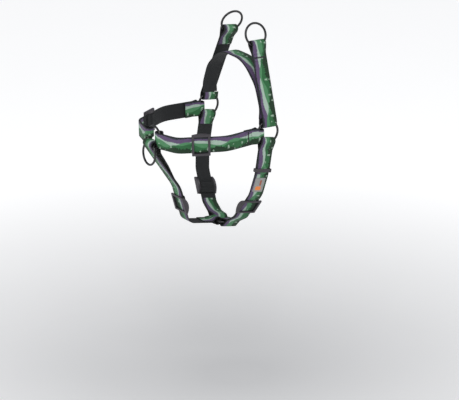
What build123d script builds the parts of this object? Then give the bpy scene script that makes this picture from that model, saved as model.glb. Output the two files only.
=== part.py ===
"""A no pull dog harness of 25.4 mm polyester webbing, with welded rings and tri-glide sliders.

Frame: -X is the dog's forward, -Y its left, +Z up. The origin lies midway between the two side rings, on the
middle plane of the body. The straps stand as they lie on a sitting dog's chest.
"""
from build123d import *
import os
from math import atan2, cos, degrees, radians, sin, tan

# Webbing and rings
WEB_WIDTH = 25.4
WEB_THICK = 1.5
LAYER = 1.65            # centre to centre of two layers of webbing that lie together
WIRE = 3.5
RING_BORE = 32.0
RING_R = (RING_BORE + WIRE) / 2

# Loops of webbing round a ring: the loop's centre line is a rounded square of this half width
LOOP = 5.9
LOOP_CORNER = 5.2
LOOP_REACH = 14.6       # ring centre to loop centre, so that the bent wire has room all across the webbing
NECK = 14.0             # loop centre to the place where the two layers meet
TAIL = 14.0             # sewn length beyond the neck
GAP = 0.3
BACK_LIFT = 7.0         # ends of the back strap above the loops' centres

# Main places
HALF_SPAN = 87.0        # middle plane to each side ring
JUNCTION = (-150.5, -6.5)       # X and Z of the ring that joins the chest straps to the sternum strap
GIRTH_TILT = 9.2        # the girth straps run forward as they go down, in degrees
BELLY_DEPTH = 163.0     # side rings to belly ring, down the girth plane
CHEST_Z = -2.0          # middle of the chest straps at the side rings

# Leash straps: direction in degrees from straight up, towards the middle plane and towards the tail
LEASH_LENGTH = 121.0    # side ring's loop to the leash ring's loop
LEASH_SETS = {"left": (-1, 19.0, 0.9), "right": (1, 20.6, 6.8)}
SIDES = {"left": -1, "right": 1}

# Tri-glide sliders and keepers
SLIDER_LENGTH = 28.5
SLIDER_WIDTH = 33.5
SLIDER_RAIL = 3.65
SLIDER_BAR = (3.6, 2.4)
CENTRE_BAR = (3.2, 1.85)
SLIDER_CLEAR = 0.3
TAB_LENGTH = 14.0
# Corners taken off the chest straps' loops where another strap's loop passes: low and high X, Y from the
# middle plane, and Z
CHEST_NOTCHES = [((-13.2, 78, 7.4), (0, 96, 14)), ((-15.8, 78, -17), (0, 96, -5.2)),
                 ((-165, 0, -22), (-140, 13.2, -9)), ((-165, 12, -22), (-153, 17.5, -16.3))]
BELLY_NOTCH = (13.2, 7.0, 20.0)         # taken off the sternum strap's loop beside each girth strap's loop
BELLY_NOTCH_AT = (-6.5, 11.0)           # its middle, forward of the belly ring's centre and to each side
KEEL = [(-95.0, -151.0), (-112.5, -92.0), (-168.6, -10.2)]      # corners of the sternum strap in X and Z
INNER_X = -147.2        # inner layer behind the junction ring
FRONT_RING_TOP = (-159.1, -13.1)        # X and Z of the front leash ring's top wire, inside the fold
FRONT_RING_HANG = 87.0  # direction of the ring's plane at rest, from its bottom to its top, in degrees
LABEL = (24.0, 18.0, 0.7)
LABEL_AT = 17.0         # label's middle, down the straight run below the upper bend of a girth strap
TONGUE = 38.0           # outer layer of a girth strap, neck to its free end

# Sliders: place along their straight run from its corner, and travel to each side
CHEST_SLIDER_AT = 39.5
GIRTH_SLIDER_AT = 28.0
STERNUM_SLIDER_AT = 29.5
CHEST_TRAVEL = 10.0
GIRTH_TRAVEL = 8.0
STERNUM_TRAVEL = 8.0
KEEPER_HEIGHT = 5.2
KEEPER_WALL = 1.8
KEEPER_INSET = 6.0      # keeper's middle to the tongue's free end


def along(angle):
    """Unit vector at angle degrees in a strap's own plane."""
    return Vector(cos(radians(angle)), sin(radians(angle)))


def bearing(start, end):
    """Direction from start to end in degrees."""
    return degrees(atan2(end[1] - start[1], end[0] - start[0]))


def beside(point, angle, forward, left):
    """Point that lies forward along angle and left of it."""
    place = Vector(*point) + along(angle) * forward + along(angle + 90) * left
    return (place.X, place.Y)


def shifted(route, distance):
    """Corners of the line that runs distance to the left of route; its first and last points are squared off."""
    corners = [beside(route[0], bearing(route[0], route[1]), 0, distance)]
    for before, corner, after in zip(route, route[1:], route[2:]):
        first = bearing(before, corner)
        half_turn = (bearing(corner, after) - first + 180) % 360 - 180
        corners.append(beside(corner, first, -distance * tan(radians(half_turn / 2)), distance))
    corners.append(beside(route[-1], bearing(route[-2], route[-1]), 0, distance))
    return corners


def loop(centre, heading, side):
    """Corners and radii of a loop of webbing round centre.

    heading points from the strap to the loop. The loop starts on the strap's layer at the side given by
    side (1 for left of heading) and comes back on the other layer.
    """
    outline = [(-NECK, LAYER / 2), (-1, LOOP), (LOOP, LOOP), (LOOP, -LOOP), (-1, -LOOP), (-NECK, -LAYER / 2)]
    corners = [beside(centre, heading, forward, side * left) for forward, left in outline]
    return corners, [8, 6, LOOP_CORNER, LOOP_CORNER, 6, 8]


def strap(plane, route, bends, width=WEB_WIDTH):
    """Webbing whose centre line follows route in plane, rounded by bends, and that reaches width across it."""
    with BuildPart() as webbing:
        with BuildSketch(plane):
            with BuildLine():
                line = FilletPolyline(*route, radius=bends)
            trace(line.edges(), line_width=WEB_THICK)
        extrude(amount=width / 2, both=True)
    return webbing


def face_plane(plane, point, heading, side):
    """Plane on the webbing's centre line: X along heading, Z out of the strap's face at its given side."""
    direction = along(heading)
    outward = along(heading + 90) * side
    x_dir = plane.x_dir * direction.X + plane.y_dir * direction.Y
    z_dir = plane.x_dir * outward.X + plane.y_dir * outward.Y
    return Plane(origin=plane.from_local_coords(Vector(*point, 0)), x_dir=x_dir, z_dir=z_dir)


def save(piece, name):
    """Label the piece and write it."""
    piece.part.label = name
    export_step(piece.part, f"parts/{name}.step")


def o_ring(plane):
    """Welded round ring lying in plane."""
    with BuildPart(plane) as ring:
        Torus(RING_R, WIRE / 2)
    return ring


def slider(place):
    """Tri-glide: end bars over the webbing, a lower centre bar for the sewn tab, and a side rail at each edge."""
    bar_x = (SLIDER_LENGTH - SLIDER_BAR[0]) / 2
    bar_z = WEB_THICK / 2 + SLIDER_CLEAR + SLIDER_BAR[1] / 2
    low_z = -(LAYER + WEB_THICK / 2 + 0.15 + CENTRE_BAR[1] / 2)
    top = bar_z + SLIDER_BAR[1] / 2
    half = SLIDER_LENGTH / 2
    inner = SLIDER_WIDTH / 2 - SLIDER_RAIL
    section = Plane(origin=place.origin, x_dir=place.x_dir, z_dir=-place.y_dir)
    with BuildPart() as frame:
        for edge in (-1, 1):
            with BuildSketch(section.offset(edge * (inner + SLIDER_RAIL / 2))):
                with BuildLine():
                    Polyline((-half, top - 2.2), (-half + 0.7, top), (half - 0.7, top), (half, top - 2.2))
                    ThreePointArc((half, top - 2.2), (0, low_z - CENTRE_BAR[1] / 2 - 0.2), (-half, top - 2.2))
                make_face()
            extrude(amount=SLIDER_RAIL / 2, both=True)
        with BuildSketch(section):
            with Locations((-bar_x, bar_z), (bar_x, bar_z)):
                RectangleRounded(*SLIDER_BAR, radius=0.9)
            with Locations((0, low_z)):
                RectangleRounded(*CENTRE_BAR, radius=0.8)
        extrude(amount=inner + 0.4, both=True)
    return frame


def slider_tab(place):
    """Strap end sewn round a slider's centre bar; its tail points along the slider's X."""
    section = Plane(origin=place.origin, x_dir=place.x_dir, z_dir=-place.y_dir)
    low = -(LAYER + WEB_THICK / 2 + 0.15 + CENTRE_BAR[1] + 0.15 + WEB_THICK / 2)
    reach = CENTRE_BAR[0] / 2 + 0.2 + WEB_THICK / 2
    under = -LAYER - WEB_THICK - 0.12
    route = [(TAB_LENGTH, -LAYER), (-reach, -LAYER), (-reach, low), (reach, low),
             (reach + 3.5, under), (TAB_LENGTH, under)]
    return strap(section, route, [1.1, 1.1, 1.5, 1.5])


def tack(place, lift, length=3.0, width=20.0):
    """Bar tack: a dense block of stitches standing on a webbing face, lift above the centre line."""
    with BuildPart() as stitches:
        with BuildSketch(place.offset(lift)):
            RectangleRounded(length, width, radius=0.8)
        extrude(amount=0.35)
    return stitches


def keeper(place):
    """Narrow keeper: a closed band round the two layers of webbing."""
    section = Plane(origin=place.origin, x_dir=place.y_dir, z_dir=place.x_dir)
    opening = (WEB_WIDTH + 2 * 0.4, LAYER + WEB_THICK + 2 * SLIDER_CLEAR)
    with BuildPart() as band:
        with BuildSketch(section):
            RectangleRounded(opening[0] + 2 * KEEPER_WALL, opening[1] + 2 * KEEPER_WALL, radius=1.6)
            Rectangle(*opening, mode=Mode.SUBTRACT)
        extrude(amount=KEEPER_HEIGHT / 2, both=True)
    return band


os.makedirs("parts", exist_ok=True)

# Planes that the straps run in. Each plane's Z is across the webbing.
across = Plane.YZ
girth_down = Vector(-sin(radians(GIRTH_TILT)), 0, -cos(radians(GIRTH_TILT)))
girth_plane = Plane(origin=(0, 0, 0), x_dir=(0, 1, 0), z_dir=Vector(0, 1, 0).cross(girth_down))
chest_slope = Vector(JUNCTION[0], 0, JUNCTION[1] - CHEST_Z)
chest_plane = Plane(origin=(0, 0, CHEST_Z), x_dir=-chest_slope, z_dir=(-chest_slope).cross(Vector(0, 1, 0)))
middle = Plane(origin=(0, 0, 0), x_dir=(1, 0, 0), z_dir=(0, -1, 0))

# Rings
for name, side in SIDES.items():
    save(o_ring(Plane(origin=(0, side * HALF_SPAN, 0), z_dir=(0, 1, 0))), f"side_ring_{name}")
save(o_ring(Plane(origin=(JUNCTION[0], 0, JUNCTION[1]), z_dir=(1, 0, 0))), "junction_ring")
belly_centre = girth_down * BELLY_DEPTH
save(o_ring(Plane(origin=belly_centre, z_dir=girth_down)), "belly_ring")

# Back strap: an arch over the withers that ends behind each side ring's upper wire
shoulder = [(HALF_SPAN - LOOP, LOOP_REACH + BACK_LIFT), (HALF_SPAN - 4.2, 38), (69, 72), (33, 103.5)]
arch = [(-y, z) for y, z in shoulder] + shoulder[::-1]
back_strap = strap(across, arch, [30, 45, 60, 60, 45, 30])
save(back_strap, "back_strap")

# Leash straps: each hooks under the side ring's upper wire and stands up to its own ring
for name, (side, lean, sway) in LEASH_SETS.items():
    up = Vector(sin(radians(sway)), 0, cos(radians(sway)))
    plane = Plane(origin=(0, side * HALF_SPAN, 0), x_dir=(0, -side, 0), z_dir=Vector(0, -side, 0).cross(up))
    heading = 90 - lean
    hook = [(LOOP, LOOP_REACH - GAP), (LOOP, LOOP_REACH - LOOP), (-LOOP, LOOP_REACH - LOOP), (-LOOP, LOOP_REACH + 3)]
    ring_loop = beside((-LOOP, LOOP_REACH + 3), heading, LEASH_LENGTH, -LAYER / 2)
    end, bends = loop(ring_loop, heading, 1)
    tail = beside(end[-1], heading, -TAIL, 0)
    leash_strap = strap(plane, hook + end + [tail], [LOOP_CORNER, LOOP_CORNER, 12] + bends)
    save(leash_strap, f"leash_strap_{name}")
    stitch_place = face_plane(plane, beside(end[0], heading, -TAIL / 2, 0), heading, 1)
    save(tack(stitch_place, WEB_THICK / 2), f"leash_tack_{name}")
    ring_centre = beside(ring_loop, heading, LOOP_REACH, 0)
    ring_plane = face_plane(plane, ring_centre, heading, 1)
    save(o_ring(ring_plane), f"leash_ring_{name}")

# Chest straps: sewn to the side ring, through the slider, round the junction ring and back inside
for name, side in SIDES.items():
    rear_loop, rear_bends = loop((-LOOP_REACH, side * HALF_SPAN), 0, side)
    outer = [(-78, side * 93.5), (-145, side * 58.0)]
    front_centre = (JUNCTION[0], side * LOOP_REACH)
    front_heading = bearing((-153.5, side * 34.0), front_centre)
    front_loop, front_bends = loop(front_centre, front_heading, -side)
    run = bearing(*outer)
    slider_at = beside(outer[0], run, CHEST_SLIDER_AT, 0)
    inner_corner = shifted([outer[0], outer[1], front_loop[0]], side * LAYER)[1]
    inner_end = beside(slider_at, run, TAB_LENGTH + CHEST_TRAVEL + 0.5, side * LAYER)
    tail = beside(rear_loop[-1], 180, TAIL, 0)
    route = [tail] + rear_loop[::-1] + outer + front_loop + [inner_corner, inner_end]
    bends = rear_bends + [40, 22] + front_bends + [22 - LAYER]
    webbing = strap(chest_plane, route, bends)
    with BuildPart() as chest_strap:
        add(webbing.part)
        for (low_x, low_y, low_z), (high_x, high_y, high_z) in CHEST_NOTCHES:
            with Locations(((low_x + high_x) / 2, side * (low_y + high_y) / 2, (low_z + high_z) / 2)):
                Box(high_x - low_x, high_y - low_y, high_z - low_z, mode=Mode.SUBTRACT)
    save(chest_strap, f"chest_strap_{name}")
    place = face_plane(chest_plane, slider_at, run, -side)
    save(slider(place), f"chest_slider_{name}")
    save(slider_tab(place), f"chest_slider_tab_{name}")
    sewn_run = bearing(rear_loop[0], outer[0])
    stitch_at = beside(rear_loop[0], sewn_run, TAIL / 2 + 1, 0)
    stitch_place = face_plane(chest_plane, stitch_at, sewn_run, -side)
    save(tack(stitch_place, WEB_THICK / 2), f"chest_tack_{name}")

# Girth straps: round the side ring with a tongue under the keeper, down through the slider to the belly ring
for name, side in SIDES.items():
    upper_loop, upper_bends = loop((side * HALF_SPAN, LOOP_REACH), -90, side)
    outer = [(upper_loop[-1][0], 68), (side * 78.5, 101), (side * 46, 147)]
    lower_centre = (side * LOOP_REACH, BELLY_DEPTH)
    lower_heading = bearing(outer[-1], lower_centre)
    lower_loop, lower_bends = loop(lower_centre, lower_heading, -side)
    run = bearing(outer[1], outer[2])
    slider_at = beside(outer[1], run, GIRTH_SLIDER_AT, 0)
    inner_corner = shifted([outer[1], outer[2], lower_loop[0]], side * LAYER)[1]
    inner_end = beside(slider_at, run, TAB_LENGTH + GIRTH_TRAVEL + 0.5, side * LAYER)
    tongue = beside(upper_loop[0], 90, TONGUE, 0)
    route = [tongue] + upper_loop + outer + lower_loop + [inner_corner, inner_end]
    bends = upper_bends + [30, 25, 20] + lower_bends + [20 - LAYER]
    girth_strap = strap(girth_plane, route, bends)
    save(girth_strap, f"girth_strap_{name}")
    place = face_plane(girth_plane, slider_at, run, -side)
    save(slider(place), f"girth_slider_{name}")
    save(slider_tab(place), f"girth_slider_tab_{name}")
    keeper_at = beside(upper_loop[0], 90, TONGUE - KEEPER_INSET, side * LAYER / 2)
    keeper_place = face_plane(girth_plane, keeper_at, 90, -side)
    save(keeper(keeper_place), f"girth_keeper_{name}")
    if name == "left":
        label_run = bearing(outer[0], outer[1])
        label_place = face_plane(girth_plane, beside(outer[0], label_run, LABEL_AT, 0), label_run, -side)
        with BuildPart() as label:
            with BuildSketch(label_place.offset(WEB_THICK / 2)):
                RectangleRounded(LABEL[0], LABEL[1], radius=1.2)
            extrude(amount=LABEL[2])
        save(label, "label")

# Sternum strap: sewn to the belly ring, through its slider, over the two front rings and back inside
belly_loop = belly_centre + Vector(-cos(radians(GIRTH_TILT)), 0, sin(radians(GIRTH_TILT))) * LOOP_REACH
rear_centre = (belly_loop.X, belly_loop.Z)
rear_heading = bearing(KEEL[0], rear_centre)
rear_loop, rear_bends = loop(rear_centre, rear_heading, -1)
run = bearing(KEEL[0], KEEL[1])
upper_run = bearing(KEEL[1], KEEL[2])
slider_at = beside(KEEL[1], run, -STERNUM_SLIDER_AT, 0)
inside = [(INNER_X, KEEL[2][1]), (INNER_X, -29), (-132.8, -53),
          beside(KEEL[1], upper_run, 20, -LAYER), shifted(KEEL, -LAYER)[1],
          beside(slider_at, run, TAB_LENGTH + STERNUM_TRAVEL + 0.5, -LAYER)]
tail = beside(rear_loop[-1], rear_heading, -TAIL, 0)
route = [tail] + rear_loop[::-1] + KEEL + inside
webbing = strap(middle, route, rear_bends + [14, 40, 5.5, 7, 12, 12, 20, 40 - LAYER])
with BuildPart() as sternum_strap:
    add(webbing.part)
    for edge in (-1, 1):
        spot = Location((BELLY_NOTCH_AT[0], edge * BELLY_NOTCH_AT[1], 0))
        with Locations(Location(belly_centre, (0, GIRTH_TILT, 0)) * spot):
            Box(*BELLY_NOTCH, mode=Mode.SUBTRACT)
save(sternum_strap, "sternum_strap")
place = face_plane(middle, slider_at, run, 1)
save(slider(place), "sternum_slider")
save(slider_tab(place), "sternum_slider_tab")
stitch_place = face_plane(middle, beside(rear_loop[0], rear_heading, -TAIL / 2, 0), rear_heading, -1)
save(tack(stitch_place, WEB_THICK / 2), "sternum_tack")

# Front leash ring: its top wire lies in the sternum strap's fold and it hangs in front of the strap
ring_centre = beside(FRONT_RING_TOP, FRONT_RING_HANG, -RING_R, 0)
save(o_ring(face_plane(middle, ring_centre, FRONT_RING_HANG, 1)), "front_leash_ring")
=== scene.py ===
"""Looks of the no pull dog harness: printed webbing, stitches, rings, sliders and label."""

from math import atan2, ceil, cos, degrees, pi, radians, sin, tan

import bmesh
import bpy
from mathutils import Matrix, Vector


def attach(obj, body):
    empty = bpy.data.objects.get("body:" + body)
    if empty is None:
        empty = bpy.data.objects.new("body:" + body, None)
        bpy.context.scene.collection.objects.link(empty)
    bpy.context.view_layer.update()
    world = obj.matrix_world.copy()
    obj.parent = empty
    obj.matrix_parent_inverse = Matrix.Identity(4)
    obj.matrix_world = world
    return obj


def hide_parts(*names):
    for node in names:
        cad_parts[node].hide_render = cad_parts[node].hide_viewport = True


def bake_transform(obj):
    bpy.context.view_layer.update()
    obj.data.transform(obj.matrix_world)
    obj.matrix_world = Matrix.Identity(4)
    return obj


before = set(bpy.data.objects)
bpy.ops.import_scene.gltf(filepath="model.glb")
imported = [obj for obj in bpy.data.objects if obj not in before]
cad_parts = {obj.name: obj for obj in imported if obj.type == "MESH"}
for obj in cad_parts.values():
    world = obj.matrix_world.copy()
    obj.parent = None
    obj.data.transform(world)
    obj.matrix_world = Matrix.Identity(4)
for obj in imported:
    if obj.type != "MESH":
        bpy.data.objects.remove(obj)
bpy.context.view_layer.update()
MM = 0.001

# Driving sizes of the straps in millimetres, the same as in the CAD model
WEB_WIDTH = 25.4
WEB_THICK = 1.5
LAYER = 1.65
WIRE = 3.5
RING_R = 17.75
LOOP = 5.9
LOOP_CORNER = 5.2
LOOP_REACH = 14.6
NECK = 14.0
TAIL = 14.0
BACK_LIFT = 7.0
HALF_SPAN = 87.0
JUNCTION = (-150.5, -6.5)
GIRTH_TILT = 9.2
BELLY_DEPTH = 163.0
CHEST_Z = -2.0
LEASH_LENGTH = 121.0
LEASH_SETS = {"left": (-1, 19.0, 0.9), "right": (1, 20.6, 6.8)}
SIDES = {"left": -1, "right": 1}
TAB_LENGTH = 14.0
CHEST_TRAVEL = 10.0
GIRTH_TRAVEL = 8.0
STERNUM_TRAVEL = 8.0
CHEST_SLIDER_AT = 39.5
GIRTH_SLIDER_AT = 28.0
STERNUM_SLIDER_AT = 29.5
LABEL_AT = 17.0
LABEL_SIZE = (24.0, 18.0)
CENTRE_BAR = (3.2, 1.85)
KEEL = [(-95.0, -151.0), (-112.5, -92.0), (-168.6, -10.2)]
INNER_X = -147.2
FRONT_RING_TOP = (-159.1, -13.1)
FRONT_RING_HANG = 87.0
TONGUE = 38.0
TACK_AT = (-5.6, 5.4)
SEAM_HALF = 9.8
ROOT = "harness"


# ---------------------------------------------------------------- lines in a strap's own plane
def bearing(start, end):
    return degrees(atan2(end[1] - start[1], end[0] - start[0]))


def beside(point, angle, forward, left):
    """Point forward along angle and left of it."""
    a = radians(angle)
    return (point[0] + forward * cos(a) - left * sin(a), point[1] + forward * sin(a) + left * cos(a))


def shifted(route, distance):
    """Corners of the line that runs distance to the left of route."""
    corners = [beside(route[0], bearing(route[0], route[1]), 0, distance)]
    for before, corner, after in zip(route, route[1:], route[2:]):
        first = bearing(before, corner)
        half_turn = (bearing(corner, after) - first + 180) % 360 - 180
        corners.append(beside(corner, first, -distance * tan(radians(half_turn / 2)), distance))
    corners.append(beside(route[-1], bearing(route[-2], route[-1]), 0, distance))
    return corners


def loop(centre, heading, side):
    """Corners and radii of a loop of webbing round centre, from the layer at side to the other layer."""
    outline = [(-NECK, LAYER / 2), (-1, LOOP), (LOOP, LOOP)]
    outline += [(forward, -left) for forward, left in outline[::-1]]
    corners = [beside(centre, heading, forward, side * left) for forward, left in outline]
    return corners, [8, 6, LOOP_CORNER, LOOP_CORNER, 6, 8]


def rounded(route, bends, step=1.5, turn_step=7.0):
    """Points (x, y, heading) along route with each inner corner rounded; headings don't jump by 360."""
    points = []
    heading = bearing(route[0], route[1])
    start = Vector(route[0])
    for index, radius in enumerate(bends, 1):
        corner = Vector(route[index])
        after = bearing(route[index], route[index + 1])
        turn = (after - heading + 180) % 360 - 180
        cut = radius * tan(radians(abs(turn) / 2))
        entry = Vector(beside(corner, heading, -cut, 0))
        points += straight(start, entry, heading, step)
        centre = beside(entry, heading, 0, radius if turn > 0 else -radius)
        count = max(2, ceil(abs(turn) / turn_step))
        for i in range(count):
            now = heading + turn * i / count
            place = beside(centre, now, 0, -radius if turn > 0 else radius)
            points.append((place[0], place[1], now))
        heading = heading + turn
        start = Vector(beside(corner, heading, cut, 0))
    points += straight(start, Vector(route[-1]), heading, step)
    points.append((route[-1][0], route[-1][1], heading))
    return points


def straight(start, end, heading, step):
    """Evenly spaced points from start up to, and without, end."""
    length = (end - start).length
    if length < 1e-6:
        return []
    count = max(1, round(length / step))
    return [(*start.lerp(end, i / count), heading) for i in range(count)]


# ---------------------------------------------------------------- planes
class Plane:
    """Origin and unit axes, in millimetres. Z is across the webbing."""

    def __init__(self, origin, x_dir, z_dir):
        self.origin = Vector(origin)
        self.x = Vector(x_dir).normalized()
        self.z = Vector(z_dir).normalized()
        self.y = self.z.cross(self.x)

    def at(self, x, y, z=0.0):
        return self.origin + self.x * x + self.y * y + self.z * z


def face_plane(plane, point, heading, side):
    """X along heading on the webbing's centre line, Z out of the face at side."""
    a = radians(heading)
    x_dir = plane.x * cos(a) + plane.y * sin(a)
    z_dir = (plane.y * cos(a) - plane.x * sin(a)) * side
    return Plane(plane.at(*point), x_dir, z_dir)


girth_down = Vector((-sin(radians(GIRTH_TILT)), 0, -cos(radians(GIRTH_TILT))))
ACROSS = Plane((0, 0, 0), (0, 1, 0), (1, 0, 0))
GIRTH = Plane((0, 0, 0), (0, 1, 0), Vector((0, 1, 0)).cross(girth_down))
chest_slope = Vector((JUNCTION[0], 0, JUNCTION[1] - CHEST_Z))
CHEST = Plane((0, 0, CHEST_Z), -chest_slope, (-chest_slope).cross(Vector((0, 1, 0))))
MIDDLE = Plane((0, 0, 0), (1, 0, 0), (0, -1, 0))


# ---------------------------------------------------------------- node helpers
class Nodes:
    """Short way to build a material's node tree."""

    def __init__(self, name):
        self.material = bpy.data.materials.new(name)
        self.material.use_nodes = True
        self.tree = self.material.node_tree
        self.shader = self.tree.nodes["Principled BSDF"]

    def new(self, kind, **settings):
        node = self.tree.nodes.new(kind)
        for key, value in settings.items():
            setattr(node, key, value)
        return node

    def put(self, socket, value):
        if isinstance(value, bpy.types.NodeSocket):
            self.tree.links.new(value, socket)
        else:
            socket.default_value = value

    def math(self, operation, a, b=0.0, clamp=False):
        node = self.new("ShaderNodeMath", operation=operation, use_clamp=clamp)
        self.put(node.inputs[0], a)
        self.put(node.inputs[1], b)
        return node.outputs[0]

    def mix(self, factor, a, b):
        node = self.new("ShaderNodeMix", data_type="RGBA")
        self.put(node.inputs[0], factor)
        self.put(node.inputs[6], a)
        self.put(node.inputs[7], b)
        return node.outputs[2]

    def noise(self, vector, scale, detail=2.0, rough=0.5):
        node = self.new("ShaderNodeTexNoise")
        self.put(node.inputs["Vector"], vector)
        node.inputs["Scale"].default_value = scale
        node.inputs["Detail"].default_value = detail
        node.inputs["Roughness"].default_value = rough
        return node.outputs["Fac"]

    def vector(self, x, y, z=0.0):
        node = self.new("ShaderNodeCombineXYZ")
        for socket, value in zip(node.inputs, (x, y, z)):
            self.put(socket, value)
        return node.outputs[0]

    def web_uv(self):
        """Distance along the webbing and across it, in metres."""
        uv = self.new("ShaderNodeUVMap", uv_map="web")
        split = self.new("ShaderNodeSeparateXYZ")
        self.put(split.inputs[0], uv.outputs[0])
        return split.outputs[0], split.outputs[1]

    def bump(self, height, strength, distance):
        node = self.new("ShaderNodeBump")
        node.inputs["Strength"].default_value = strength
        node.inputs["Distance"].default_value = distance
        self.put(node.inputs["Height"], height)
        self.put(self.shader.inputs["Normal"], node.outputs[0])

    def set(self, **values):
        for name, value in values.items():
            self.put(self.shader.inputs[name.replace("_", " ")], value)


def weave_height(n, u, v, rib=0.0009, yarn=0.00062):
    """Flat webbing: weft ribs across it and warp yarns along it, offset on every other rib."""
    rib_wave = n.math("SINE", n.math("MULTIPLY", u, 2 * pi / rib))
    side = n.math("MULTIPLY", n.math("SIGN", rib_wave), 0.25)
    yarn_wave = n.math("SINE", n.math("MULTIPLY", n.math("ADD", n.math("DIVIDE", v, yarn), side), 2 * pi))
    ribs = n.math("MULTIPLY", n.math("ABSOLUTE", rib_wave), 0.6)
    yarns = n.math("MULTIPLY", n.math("ADD", yarn_wave, 1.0), 0.25)
    return n.math("ADD", ribs, yarns)


def print_material():
    """Printed face of the webbing: bands of hills along its length, between black edges."""
    n = Nodes("webbing_print")
    u, v = n.web_uv()
    share = n.math("DIVIDE", v, WEB_WIDTH * MM)

    def above(level, blur=0.014):
        return n.math("DIVIDE", n.math("SUBTRACT", share, level), blur, clamp=True)

    def ridge(base, waves, rough=0.0, rough_scale=300.0):
        """Height of a band's edge: (length, height, phase) waves along the webbing, and a ragged part."""
        level = base
        for length, height, phase in waves:
            angle = n.math("ADD", n.math("MULTIPLY", u, 2 * pi / length), phase)
            level = n.math("ADD", level, n.math("MULTIPLY", n.math("SINE", angle), height))
        if rough:
            ragged = n.math("SUBTRACT", n.noise(n.vector(u, base), rough_scale, 2.0), 0.5)
            level = n.math("ADD", level, n.math("MULTIPLY", ragged, rough))
        return level

    slate = (0.026, 0.030, 0.044, 1)
    purple = (0.122, 0.074, 0.172, 1)
    lilac = (0.145, 0.108, 0.185, 1)
    mist = (0.420, 0.560, 0.465, 1)
    light = (0.082, 0.270, 0.118, 1)
    mid = (0.022, 0.140, 0.044, 1)
    forest = (0.005, 0.030, 0.009, 1)
    pale = (0.460, 0.600, 0.480, 1)
    black = (0.006, 0.006, 0.007, 1)
    color = n.mix(above(ridge(0.09, [(0.046, 0.035, 0.4)], 0.16)), slate, purple)
    color = n.mix(above(ridge(0.24, [(0.093, 0.07, 1.0), (0.031, 0.03, 2.2)], 0.10), 0.05),
                  color, lilac)
    color = n.mix(above(ridge(0.29, [(0.093, 0.08, 1.2), (0.034, 0.035, 0.3)], 0.12)), color, mist)
    color = n.mix(above(ridge(0.40, [(0.071, 0.11, 2.6), (0.039, 0.05, 1.1)]), 0.03), color, light)
    color = n.mix(above(ridge(0.56, [(0.083, 0.14, 4.0), (0.029, 0.05, 0.2)]), 0.03), color, mid)
    color = n.mix(above(ridge(0.74, [(0.064, 0.12, 5.2), (0.023, 0.04, 1.9)], 0.34, 520.0), 0.02),
                  color, forest)

    # small pale firs on the hills: one to a cell, with tiers of branches
    cell = 0.0115
    trees = n.new("ShaderNodeTexVoronoi", feature="F1")
    trees.inputs["Scale"].default_value = 1.0
    trees.inputs["Randomness"].default_value = 0.7
    along_cells = n.math("DIVIDE", u, cell)
    across_cells = n.math("DIVIDE", v, cell)
    n.put(trees.inputs["Vector"], n.vector(along_cells, across_cells))
    spot = n.new("ShaderNodeSeparateXYZ")
    n.put(spot.inputs[0], trees.outputs["Position"])
    beside_trunk = n.math("ABSOLUTE", n.math("SUBTRACT", along_cells, spot.outputs[0]))
    down = n.math("ADD", n.math("SUBTRACT", across_cells, spot.outputs[1]), 0.24)
    tier = n.math("FRACT", n.math("MULTIPLY", down, 6.0))
    reach = n.math("ADD", n.math("MULTIPLY", down, 0.12), n.math("MULTIPLY", tier, 0.13))
    inside = n.math("LESS_THAN", beside_trunk, reach)
    inside = n.math("MULTIPLY", inside, n.math("GREATER_THAN", down, 0.0))
    inside = n.math("MULTIPLY", inside, n.math("LESS_THAN", down, 0.5))
    picked = n.new("ShaderNodeSeparateXYZ")
    n.put(picked.inputs[0], trees.outputs["Color"])
    inside = n.math("MULTIPLY", inside, n.math("GREATER_THAN", picked.outputs[0], 0.35))
    zone = n.math("MULTIPLY", above(0.56, 0.05), n.math("SUBTRACT", 1.0, above(0.93, 0.02)))
    color = n.mix(n.math("MULTIPLY", n.math("MULTIPLY", inside, zone), 0.8), color, pale)

    # yarn-by-yarn unevenness of the dye, then the black woven edges
    fleck = n.noise(n.vector(n.math("MULTIPLY", u, 1400.0), n.math("MULTIPLY", v, 700.0)), 1.0, 1.0)
    color = n.mix(n.math("MULTIPLY", fleck, 0.22), color, forest)
    edge = n.math("MINIMUM", share, n.math("SUBTRACT", 1.0, share))
    color = n.mix(n.math("LESS_THAN", edge, 0.045), color, black)
    n.set(Base_Color=color, Roughness=n.math("ADD", 0.50, n.math("MULTIPLY", fleck, 0.25)))
    n.shader.inputs["Sheen Weight"].default_value = 0.06
    n.shader.inputs["Sheen Roughness"].default_value = 0.5
    n.shader.inputs["Specular IOR Level"].default_value = 0.35
    n.bump(weave_height(n, u, v), 0.55, 0.00022)
    return n.material


def plain_web_material(name, color, fleck_color):
    """Unprinted woven face or edge."""
    n = Nodes(name)
    u, v = n.web_uv()
    fleck = n.noise(n.vector(n.math("MULTIPLY", u, 1500.0), n.math("MULTIPLY", v, 900.0)), 1.0, 2.0)
    broad = n.noise(n.vector(n.math("MULTIPLY", u, 60.0), n.math("MULTIPLY", v, 60.0)), 1.0, 2.0)
    tone = n.mix(n.math("MULTIPLY", fleck, 0.8), color, fleck_color)
    tone = n.mix(n.math("MULTIPLY", broad, 0.25), tone, color)
    n.set(Base_Color=tone, Roughness=n.math("ADD", 0.62, n.math("MULTIPLY", fleck, 0.2)))
    n.shader.inputs["Sheen Weight"].default_value = 0.05
    n.shader.inputs["Specular IOR Level"].default_value = 0.3
    n.bump(weave_height(n, u, v), 0.6, 0.00022)
    return n.material


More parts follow.
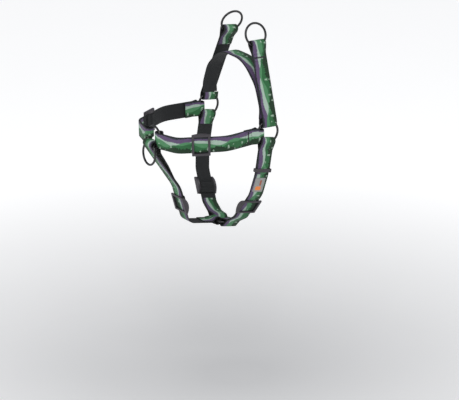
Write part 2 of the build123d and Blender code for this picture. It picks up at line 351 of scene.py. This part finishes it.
def solid_material(name, color, varied, roughness, spread, coat=0.0, grain=900.0):
    """Moulded plastic, coated wire, thread or cloth: a base colour with fine and broad variation."""
    n = Nodes(name)
    place = n.new("ShaderNodeTexCoord").outputs["Object"]
    fine = n.noise(place, grain, 3.0)
    broad = n.noise(place, grain / 14, 2.0)
    n.set(Base_Color=n.mix(broad, color, varied))
    n.set(Roughness=n.math("ADD", roughness, n.math("MULTIPLY", n.math("SUBTRACT", broad, 0.5), spread)))
    n.shader.inputs["Coat Weight"].default_value = coat
    n.shader.inputs["Coat Roughness"].default_value = 0.12
    n.bump(fine, 0.5, 0.00003)
    return n.material


PRINT = print_material()
INNER = plain_web_material("webbing_inner", (0.008, 0.009, 0.010, 1), (0.024, 0.026, 0.028, 1))
EDGE = plain_web_material("webbing_edge", (0.006, 0.007, 0.007, 1), (0.026, 0.030, 0.030, 1))
RING = solid_material("ring_coat", (0.006, 0.006, 0.007, 1), (0.012, 0.012, 0.013, 1),
                      0.30, 0.12, coat=0.15, grain=500)
PLASTIC = solid_material("slider_acetal", (0.030, 0.026, 0.032, 1), (0.046, 0.039, 0.048, 1),
                         0.42, 0.16, grain=1300)
THREAD = solid_material("thread", (0.012, 0.014, 0.014, 1), (0.035, 0.040, 0.038, 1), 0.6, 0.2, grain=2500)
LABEL = solid_material("label_satin", (0.26, 0.27, 0.26, 1), (0.36, 0.36, 0.34, 1), 0.5, 0.2, grain=1800)
MARK = solid_material("label_mark", (0.80, 0.17, 0.040, 1), (0.90, 0.32, 0.07, 1), 0.55, 0.2, grain=1800)
MARK_RED = solid_material("label_word", (0.30, 0.075, 0.045, 1), (0.40, 0.12, 0.06, 1),
                          0.55, 0.2, grain=1800)
MARK_GREY = solid_material("label_rule", (0.22, 0.23, 0.22, 1), (0.30, 0.31, 0.30, 1), 0.6, 0.2, grain=1800)


# ---------------------------------------------------------------- pieces
def new_object(name, mesh, materials):
    for material in materials:
        mesh.materials.append(material)
    piece = bpy.data.objects.new(name, mesh)
    bpy.context.scene.collection.objects.link(piece)
    return piece


def place_piece(piece, body, slot, *nodes):
    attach(piece, body)
    if nodes:
        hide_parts(*nodes)
    return piece


def web_section():
    """Closed outline of the webbing: (across, out of the face, material), from the printed face round."""
    half, thick, face_steps, edge_steps = WEB_WIDTH / 2, WEB_THICK / 2, 14, 4
    flat = half - thick
    outline = []
    for i in range(face_steps):
        outline.append((-flat + 2 * flat * i / face_steps, thick, 0))
    for i in range(edge_steps):
        a = pi / 2 - pi * i / edge_steps
        outline.append((flat + thick * cos(a), thick * sin(a), 2))
    for i in range(face_steps):
        outline.append((flat - 2 * flat * i / face_steps, -thick, 1))
    for i in range(edge_steps):
        a = -pi / 2 - pi * i / edge_steps
        outline.append((-flat + thick * cos(a), thick * sin(a), 2))
    return outline


SECTION = web_section()
CUP = 0.18          # the middle of the webbing stands this much prouder than its edges
SELVAGE = 0.10      # extra thickness at the woven edges, as a share of the thickness
FACE_LIFT = WEB_THICK / 2 + CUP / 2


def ribbon(name, plane, route, bends, outer=1, top=1, round_end=False, start_u=0.0, step=1.5, pinch=None):
    """Webbing along route in plane. outer is 1 if its printed face is left of the route. top is the side of
    the plane that the print's ridges are at. round_end rounds the corners of its last end. pinch gives the
    places of the two edges, from a point in the plane, where the webbing is gathered."""
    line = rounded(route, bends, step)
    lengths = [0.0]
    for before, point in zip(line, line[1:]):
        lengths.append(lengths[-1] + (Vector(point[:2]) - Vector(before[:2])).length)
    mesh = bpy.data.meshes.new(name)
    vertices, faces, kinds, coordinates = [], [], [], []
    half = WEB_WIDTH / 2
    ring = len(SECTION)
    for (x, y, heading), run in zip(line, lengths):
        left = (-sin(radians(heading)), cos(radians(heading)))
        narrow = 1.0
        if round_end:
            corner = 6.0
            rest = lengths[-1] - run
            if rest < corner:
                narrow = (half - corner + (corner ** 2 - (corner - rest) ** 2) ** 0.5) / half
        low, high = pinch(x, y) if pinch else (-half, half)
        for across, out, _ in SECTION:
            share = across / half
            lift = CUP * (1 - share * share) - CUP / 2
            thick = out * (1 + SELVAGE * share ** 8)
            offset = (thick + lift) * outer
            place = (low + high) / 2 + across * narrow * (high - low) / (2 * half)
            vertices.append(plane.at(x + left[0] * offset, y + left[1] * offset, place) * MM)
    for i in range(len(line) - 1):
        for j in range(ring):
            k = (j + 1) % ring
            quad = (i * ring + j, (i + 1) * ring + j, (i + 1) * ring + k, i * ring + k)
            faces.append(quad)
            kinds.append(SECTION[j][2])
            for row, column in ((i, j), (i + 1, j), (i + 1, k), (i, k)):
                coordinates.append(((start_u + lengths[row]) * MM, (half - top * SECTION[column][0]) * MM))
    for i in (0, len(line) - 1):
        cap = tuple(range(i * ring, (i + 1) * ring))
        faces.append(cap if i else cap[::-1])
        kinds.append(2)
        for j in cap:
            coordinates.append(((start_u + lengths[i]) * MM, (half + top * SECTION[j % ring][0]) * MM))
    mesh.from_pydata(vertices, [], faces)
    uv = mesh.uv_layers.new(name="web")
    uv.data.foreach_set("uv", [value for pair in coordinates for value in pair])
    mesh.polygons.foreach_set("material_index", kinds)
    mesh.polygons.foreach_set("use_smooth", [True] * len(faces))
    tidy = bmesh.new()
    tidy.from_mesh(mesh)
    bmesh.ops.recalc_face_normals(tidy, faces=tidy.faces)
    tidy.to_mesh(mesh)
    tidy.free()
    return new_object(name, mesh, [PRINT, INNER, EDGE])


def thread_mesh(name, stitches, radius=0.27, material=None):
    """Rounded lengths of thread. A stitch is (middle, direction, normal, length) in millimetres."""
    body = bmesh.new()
    for middle, direction, normal, length in stitches:
        x = direction.normalized()
        z = normal.normalized()
        y = z.cross(x)
        matrix = axes_matrix(x * (length / 2) * MM, y * radius * MM, z * radius * 0.9 * MM, middle * MM)
        bmesh.ops.create_uvsphere(body, u_segments=8, v_segments=6, radius=1.0, matrix=matrix)
    mesh = bpy.data.meshes.new(name)
    body.to_mesh(mesh)
    body.free()
    mesh.polygons.foreach_set("use_smooth", [True] * len(mesh.polygons))
    return new_object(name, mesh, [material or THREAD])


def axes_matrix(x, y, z, origin):
    rows = [(x[i], y[i], z[i], origin[i]) for i in range(3)]
    return Matrix((*rows, (0, 0, 0, 1)))


def bar_tack(place, lift, length=3.0, width=20.0):
    """Dense zigzag of thread across the webbing."""
    count = 34
    stitches = []
    for i in range(count):
        y = (i / (count - 1) - 0.5) * width
        slant = 0.09 if i % 2 else -0.09
        direction = place.x + place.y * slant
        stitches.append((place.at(0, y, lift + 0.12), direction, place.z, length))
    return stitches


def stitch_line(place, start, end, lift, pitch=2.9, gap=0.7):
    """Running stitches from start to end, (x, y) in place."""
    start, end = Vector(start), Vector(end)
    length = (end - start).length
    count = max(1, round(length / pitch))
    direction = (end - start).normalized()
    world = place.x * direction.x + place.y * direction.y
    stitches = []
    for i in range(count):
        middle = start.lerp(end, (i + 0.5) / count)
        stitches.append((place.at(middle.x, middle.y, lift + 0.06), world, place.z, length / count - gap))
    return stitches


def box_stitch(place, near, far, lift, half=SEAM_HALF):
    """Two rows along the webbing and a row across each end."""
    return sewn_border(place, [(near, -half), (far, -half), (far, half), (near, half)], lift)


def sewn_border(place, corners, lift, pitch=2.9, gap=0.7):
    """Stitches round an outline, a row from each corner to the next."""
    stitches = []
    for start, end in zip(corners, corners[1:] + corners[:1]):
        stitches += stitch_line(place, start, end, lift, pitch, gap)
    return stitches


def o_ring(name, plane, body, node):
    """Welded wire ring: a torus with the low bead of its butt weld."""
    around, tube = 112, 24
    vertices, faces = [], []
    for i in range(around):
        a = 2 * pi * i / around
        off_weld = abs((degrees(a) - 262 + 180) % 360 - 180)
        bead = 1 + 0.05 * max(0.0, 1 - off_weld / 5.0) ** 0.5 if off_weld < 5 else 1.0
        for j in range(tube):
            b = 2 * pi * j / tube
            radius = RING_R + bead * WIRE / 2 * cos(b)
            vertices.append(plane.at(radius * cos(a), radius * sin(a), bead * WIRE / 2 * sin(b)) * MM)
            here, there = (i * tube, ((i + 1) % around) * tube)
            k = (j + 1) % tube
            faces.append((here + j, there + j, there + k, here + k))
    mesh = bpy.data.meshes.new(name)
    mesh.from_pydata(vertices, [], faces)
    mesh.polygons.foreach_set("use_smooth", [True] * len(faces))
    return place_piece(new_object(name, mesh, [RING]), body, "ring_steel", node)


def dress_plastic(node, width=0.0004):
    """Moulded edges and material on a slider or keeper that keeps its CAD shape."""
    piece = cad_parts[node]
    piece.data.materials.clear()
    piece.data.materials.append(PLASTIC)
    bevel = piece.modifiers.new("moulded_edges", "BEVEL")
    bevel.width = width
    bevel.segments = 2
    bevel.limit_method = "ANGLE"
    bevel.angle_limit = radians(35)


# ---------------------------------------------------------------- back strap
shoulder = [(HALF_SPAN - LOOP, LOOP_REACH + BACK_LIFT), (HALF_SPAN - 4.2, 38), (69, 72), (33, 103.5)]
arch = [(-y, z) for y, z in shoulder] + shoulder[::-1]
back = ribbon("back_strap_web", ACROSS, arch, [30, 45, 60, 60, 45, 30], outer=1, top=-1, start_u=400)
place_piece(back, ROOT, "webbing", "back_strap")

# ---------------------------------------------------------------- leash straps and their rings
for name, (side, lean, sway) in LEASH_SETS.items():
    body = f"leash_strap_{name}"
    up = Vector((sin(radians(sway)), 0, cos(radians(sway))))
    plane = Plane((0, side * HALF_SPAN, 0), (0, -side, 0), Vector((0, -side, 0)).cross(up))
    heading = 90 - lean
    hook = [(LOOP, LOOP_REACH + BACK_LIFT), (LOOP, LOOP_REACH - LOOP), (-LOOP, LOOP_REACH - LOOP),
            (-LOOP, LOOP_REACH)]
    hook_web = ribbon(f"leash_hook_{name}_web", plane, hook, [LOOP_CORNER] * 2, outer=1, top=side, start_u=70)
    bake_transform(hook_web)
    turn = (-LOOP, LOOP_REACH + 3)
    ring_loop = beside(turn, heading, LEASH_LENGTH, -LAYER / 2)
    end, bends = loop(ring_loop, heading, 1)
    tail = beside(end[-1], heading, -TAIL, 0)
    route = [(-LOOP, LOOP_REACH), turn] + end + [tail]
    flap = ribbon(f"leash_strap_{name}_web", plane, route, [12] + bends, outer=1, top=side, start_u=97)
    place_piece(flap, body, "webbing", f"leash_strap_{name}")
    place = face_plane(plane, beside(end[0], heading, -TAIL / 2, 0), heading, 1)
    stitches = bar_tack(place, FACE_LIFT) + box_stitch(place, *TACK_AT, FACE_LIFT)
    place_piece(thread_mesh(f"leash_stitches_{name}", stitches), body, "stitching", f"leash_tack_{name}")
    ring_plane = face_plane(plane, beside(ring_loop, heading, LOOP_REACH, 0), heading, 1)
    o_ring(f"leash_ring_{name}_wire", ring_plane, f"leash_ring_{name}", f"leash_ring_{name}")


# ---------------------------------------------------------------- parts shared by the straps with sliders
def eased(start, end, value):
    """0 at start, 1 at end, smooth between."""
    t = min(1.0, max(0.0, (value - start) / (end - start)))
    return t * t * (3 - 2 * t)


def dress_slider(name, plane, at, run, side, travel, start_u):
    """Tab sewn round the slider's centre bar, its stitches, and the webbing that bridges to the strap."""
    place = face_plane(plane, at, run, side)
    section = Plane(place.origin, place.x, -place.y)
    low = -(LAYER + WEB_THICK + 0.3 + CENTRE_BAR[1])
    reach = CENTRE_BAR[0] / 2 + 0.2 + WEB_THICK / 2
    under = -LAYER - WEB_THICK - 0.12
    route = [(TAB_LENGTH, -LAYER), (-reach, -LAYER), (-reach, low), (reach, low), (reach + 3.5, under),
             (TAB_LENGTH, under)]
    tab = ribbon(f"{name}_tab_web", section, route, [1.1, 1.1, 1.5, 1.5], outer=1, top=side, start_u=start_u)
    place_piece(tab, name, "webbing", name.replace("_slider", "_slider_tab"))
    bridge_route = [(TAB_LENGTH + travel + 0.4, -LAYER), (TAB_LENGTH, -LAYER)]
    bridge = ribbon(f"{name}_bridge_web", section, bridge_route, [], outer=-1, top=side, start_u=start_u)
    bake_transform(bridge)
    back = face_plane(section, (0, under - FACE_LIFT), 0, -1)
    sewn = []
    for from_end in (2.5, 5.5):
        row = TAB_LENGTH - from_end
        sewn += stitch_line(back, (row, -SEAM_HALF), (row, SEAM_HALF), 0.0)
    place_piece(thread_mesh(f"{name}_stitches", sewn), name, "stitching")
    dress_plastic(name)


# ---------------------------------------------------------------- chest straps
def chest_pinch(x, y):
    half = WEB_WIDTH / 2
    near_side = eased(-20.5, -14.5, x)
    near_front = eased(20.0, 13.6, abs(y)) if x < -135 else 0.0
    low = -half + (half - 3.0) * near_side + (half - 2.3) * near_front
    high = half - (half - 9.2) * near_side
    return low, high


for name, side in SIDES.items():
    rear_loop, rear_bends = loop((-LOOP_REACH, side * HALF_SPAN), 0, side)
    outer_line = [(-78, side * 93.5), (-145, side * 58.0)]
    front_centre = (JUNCTION[0], side * LOOP_REACH)
    front_heading = bearing((-153.5, side * 34.0), front_centre)
    front_loop, front_bends = loop(front_centre, front_heading, -side)
    run = bearing(*outer_line)
    slider_at = beside(outer_line[0], run, CHEST_SLIDER_AT, 0)
    inner_corner = shifted([outer_line[0], outer_line[1], front_loop[0]], side * LAYER)[1]
    inner_end = beside(slider_at, run, TAB_LENGTH + CHEST_TRAVEL + 0.5, side * LAYER)
    tail = beside(rear_loop[-1], 180, TAIL, 0)
    route = [tail] + rear_loop[::-1] + outer_line + front_loop + [inner_corner, inner_end]
    bends = rear_bends + [40, 22] + front_bends + [22 - LAYER]
    web = ribbon(f"chest_strap_{name}_web", CHEST, route, bends, outer=-side, top=1,
                 start_u=137 if side > 0 else 0, pinch=chest_pinch)
    place_piece(web, ROOT, "webbing", f"chest_strap_{name}")
    dress_slider(f"chest_slider_{name}", CHEST, slider_at, run, -side, CHEST_TRAVEL, 30)
    sewn_run = bearing(rear_loop[0], outer_line[0])
    place = face_plane(CHEST, beside(rear_loop[0], sewn_run, TAIL / 2 + 1, 0), sewn_run, -side)
    stitches = bar_tack(place, FACE_LIFT) + box_stitch(place, *TACK_AT, FACE_LIFT)
    place_piece(thread_mesh(f"chest_stitches_{name}", stitches), ROOT, "stitching", f"chest_tack_{name}")

# ---------------------------------------------------------------- girth straps
for name, side in SIDES.items():
    upper_loop, upper_bends = loop((side * HALF_SPAN, LOOP_REACH), -90, side)
    outer_line = [(upper_loop[-1][0], 68), (side * 78.5, 101), (side * 46, 147)]
    lower_centre = (side * LOOP_REACH, BELLY_DEPTH)
    lower_heading = bearing(outer_line[-1], lower_centre)
    lower_loop, lower_bends = loop(lower_centre, lower_heading, -side)
    run = bearing(outer_line[1], outer_line[2])
    slider_at = beside(outer_line[1], run, GIRTH_SLIDER_AT, 0)
    inner_corner = shifted([outer_line[1], outer_line[2], lower_loop[0]], side * LAYER)[1]
    inner_end = beside(slider_at, run, TAB_LENGTH + GIRTH_TRAVEL + 0.5, side * LAYER)
    tongue = beside(upper_loop[0], 90, TONGUE, 0)
    split = (upper_loop[-1][0], 31)
    route = [split] + upper_loop[::-1] + [tongue]
    upper = ribbon(f"girth_tongue_{name}_web", GIRTH, route, upper_bends[::-1], outer=-side, top=1,
                   round_end=True, start_u=211)
    place_piece(upper, ROOT, "webbing")
    route = [split] + outer_line + lower_loop + [inner_corner, inner_end]
    lower = ribbon(f"girth_strap_{name}_web", GIRTH, route, [30, 25, 20] + lower_bends + [20 - LAYER],
                   outer=-side, top=1, start_u=290)
    place_piece(lower, ROOT, "webbing", f"girth_strap_{name}")
    dress_slider(f"girth_slider_{name}", GIRTH, slider_at, run, -side, GIRTH_TRAVEL, 55)
    dress_plastic(f"girth_keeper_{name}", 0.0005)

# ---------------------------------------------------------------- sternum strap
belly_centre = girth_down * BELLY_DEPTH
belly_loop = belly_centre + Vector((-cos(radians(GIRTH_TILT)), 0, sin(radians(GIRTH_TILT)))) * LOOP_REACH
rear_centre = (belly_loop.x, belly_loop.z)
rear_heading = bearing(KEEL[0], rear_centre)
rear_loop, rear_bends = loop(rear_centre, rear_heading, -1)
run = bearing(KEEL[0], KEEL[1])
upper_run = bearing(KEEL[1], KEEL[2])
slider_at = beside(KEEL[1], run, -STERNUM_SLIDER_AT, 0)
inside = [(INNER_X, KEEL[2][1]), (INNER_X, -29), (-132.8, -53), beside(KEEL[1], upper_run, 20, -LAYER),
          shifted(KEEL, -LAYER)[1], beside(slider_at, run, TAB_LENGTH + STERNUM_TRAVEL + 0.5, -LAYER)]
tail = beside(rear_loop[-1], rear_heading, -TAIL, 0)


def belly_pinch(x, y):
    half = WEB_WIDTH / 2 - (WEB_WIDTH / 2 - 7.3) * eased(-52.0, -43.0, x)
    return -half, half


web = ribbon("sternum_strap_web", MIDDLE, [tail] + rear_loop[::-1] + KEEL + inside,
             rear_bends + [14, 40, 5.5, 7, 12, 12, 20, 40 - LAYER],
             outer=1, top=1, start_u=63, pinch=belly_pinch)
place_piece(web, ROOT, "webbing", "sternum_strap")
dress_slider("sternum_slider", MIDDLE, slider_at, run, 1, STERNUM_TRAVEL, 80)
place = face_plane(MIDDLE, beside(rear_loop[0], rear_heading, -TAIL / 2, 0), rear_heading, -1)
stitches = bar_tack(place, FACE_LIFT) + box_stitch(place, *TACK_AT, FACE_LIFT)
place_piece(thread_mesh("sternum_stitches", stitches), ROOT, "stitching", "sternum_tack")

# ---------------------------------------------------------------- rings
for name, side in SIDES.items():
    ring_plane = Plane((0, side * HALF_SPAN, 0), (1, 0, 0), (0, 1, 0))
    o_ring(f"side_ring_{name}_wire", ring_plane, ROOT, f"side_ring_{name}")
ring_plane = Plane((JUNCTION[0], 0, JUNCTION[1]), (0, 1, 0), (1, 0, 0))
o_ring("junction_ring_wire", ring_plane, ROOT, "junction_ring")
o_ring("belly_ring_wire", Plane(belly_centre, (0, 1, 0), girth_down), ROOT, "belly_ring")
ring_centre = beside(FRONT_RING_TOP, FRONT_RING_HANG, -RING_R, 0)
ring_plane = face_plane(MIDDLE, ring_centre, FRONT_RING_HANG, 1)
o_ring("front_leash_ring_wire", ring_plane, "front_leash_ring", "front_leash_ring")

# ---------------------------------------------------------------- label
upper_loop, _ = loop((-HALF_SPAN, LOOP_REACH), -90, -1)
label_line = [(upper_loop[-1][0], 68), (-78.5, 101)]
label_run = bearing(*label_line)
label_place = face_plane(GIRTH, beside(label_line[0], label_run, LABEL_AT, 0), label_run, 1)


def plate(name, place, centre, size, corner, low, high, material):
    """Thin rounded plate lying on place, softened at its upper edge."""
    soft = 0.12
    outline = []
    for sign_x, sign_y, first in ((1, 1, 0), (-1, 1, 90), (-1, -1, 180), (1, -1, 270)):
        for i in range(5):
            a = radians(first + 90 * i / 4)
            outline.append((sign_x * (size[0] / 2 - corner) + corner * cos(a),
                            sign_y * (size[1] / 2 - corner) + corner * sin(a)))
    shape = bmesh.new()
    rows = []
    for z, inset in ((low, 0.0), (high - soft, 0.0), (high, soft)):
        scale_x, scale_y = 1 - 2 * inset / size[0], 1 - 2 * inset / size[1]
        rows.append([shape.verts.new(place.at(centre[0] + x * scale_x, centre[1] + y * scale_y, z) * MM)
                     for x, y in outline])
    for lower_row, upper_row in zip(rows, rows[1:]):
        for j in range(len(outline)):
            k = (j + 1) % len(outline)
            shape.faces.new((lower_row[j], lower_row[k], upper_row[k], upper_row[j]))
    shape.faces.new(rows[0][::-1])
    shape.faces.new(rows[-1])
    bmesh.ops.recalc_face_normals(shape, faces=shape.faces)
    mesh = bpy.data.meshes.new(name)
    shape.to_mesh(mesh)
    shape.free()
    return new_object(name, mesh, [material])


label_top = FACE_LIFT + 0.45
label_cloth = plate("label_cloth", label_place, (0, 0), LABEL_SIZE, 1.2,
                    WEB_THICK / 2 - 0.3, label_top, LABEL)
place_piece(label_cloth, ROOT, "label_cloth", "label")
hem_x, hem_y = LABEL_SIZE[0] / 2 - 1.4, LABEL_SIZE[1] / 2 - 1.4
hem = [(-hem_x, -hem_y), (hem_x, -hem_y), (hem_x, hem_y), (-hem_x, hem_y)]
sewn = sewn_border(label_place, hem, label_top, 2.0, 0.6)
place_piece(thread_mesh("label_stitches", sewn, 0.22, MARK_GREY), ROOT, "stitching")
marks = [
    ((5.9, -0.4), (6.6, 10.0), MARK),
    ((-3.4, 1.9), (9.6, 3.4), MARK_RED),
    ((-3.4, -1.9), (9.6, 1.3), MARK_GREY),
    ((-3.4, -4.6), (6.4, 0.9), MARK_GREY),
]
for index, (centre, size, material) in enumerate(marks):
    piece = plate(f"label_mark_{index}", label_place, centre, size, min(size) * 0.3,
                  label_top - 0.1, label_top + 0.07, material)
    place_piece(piece, ROOT, "label_cloth")

# ---------------------------------------------------------------- stage, light and camera
SENSOR = 36.0
CAMERA_DISTANCE = 7000.0
VIEW_WIDTH = 711.0
VIEW = Vector((-0.504, -0.807, 0.309)).normalized()
AIM = Vector((-31.5, -26.6, -120.8))
FLOOR = -0.42


def floor_material():
    """Matt pale floor with a painted glow that grows the farther it is from the object, so that it ends in
    plain white.
    """
    n = Nodes("floor_paper")
    place = n.new("ShaderNodeTexCoord").outputs["Object"]
    spread = n.noise(place, 3.0, 2.0)
    distance = n.new("ShaderNodeVectorMath", operation="LENGTH")
    n.put(distance.inputs[0], place)
    share = n.math("SUBTRACT", distance.outputs["Value"], 0.05, clamp=True)
    n.set(Base_Color=n.mix(spread, (0.74, 0.74, 0.74, 1), (0.78, 0.78, 0.78, 1)), Emission_Color=(1, 1, 1, 1))
    # Painted light: the floor's emission is a glow, stronger farther from the object, and not a lamp.
    n.set(Emission_Strength=n.math("MULTIPLY", share, 0.64))
    n.set(Roughness=n.math("ADD", 0.6, n.math("MULTIPLY", spread, 0.1)))
    return n.material


def floor():
    half = 14.0
    mesh = bpy.data.meshes.new("floor")
    corners = [(-half, -half, 0), (half, -half, 0), (half, half, 0), (-half, half, 0)]
    mesh.from_pydata(corners, [], [(0, 1, 2, 3)])
    piece = new_object("floor", mesh, [floor_material()])
    piece.location.z = FLOOR
    return piece


def area_light(name, place, target, size, power):
    light = bpy.data.lights.new(name, "AREA")
    light.shape = "RECTANGLE"
    light.size, light.size_y = size
    light.energy = power
    lamp = bpy.data.objects.new(name, light)
    lamp.location = place
    lamp.rotation_euler = (Vector(target) - Vector(place)).to_track_quat("-Z", "Y").to_euler()
    bpy.context.scene.collection.objects.link(lamp)
    return lamp


floor()
middle_of_part = AIM * MM
area_light("key", (-0.9, -1.3, 1.5), middle_of_part, (1.2, 1.0), 19)
area_light("fill", (-1.7, 0.4, 0.6), middle_of_part, (1.4, 1.4), 5)
area_light("rim", (0.9, -0.6, 1.2), middle_of_part, (1.0, 0.8), 6)

bpy.context.scene.view_settings.view_transform = "Standard"
world = bpy.data.worlds.new("studio")
bpy.context.scene.world = world
world.use_nodes = True
world.node_tree.nodes["Background"].inputs["Color"].default_value = (0.93, 0.95, 1.0, 1)
world.node_tree.nodes["Background"].inputs["Strength"].default_value = 0.34

camera_data = bpy.data.cameras.new("camera")
camera_data.sensor_width = SENSOR
camera_data.lens = SENSOR * CAMERA_DISTANCE / VIEW_WIDTH
camera_data.dof.use_dof = False
camera = bpy.data.objects.new("camera", camera_data)
camera.location = (AIM + VIEW * CAMERA_DISTANCE) * MM
camera.rotation_euler = VIEW.to_track_quat("Z", "Y").to_euler()
bpy.context.scene.collection.objects.link(camera)
bpy.context.scene.camera = camera
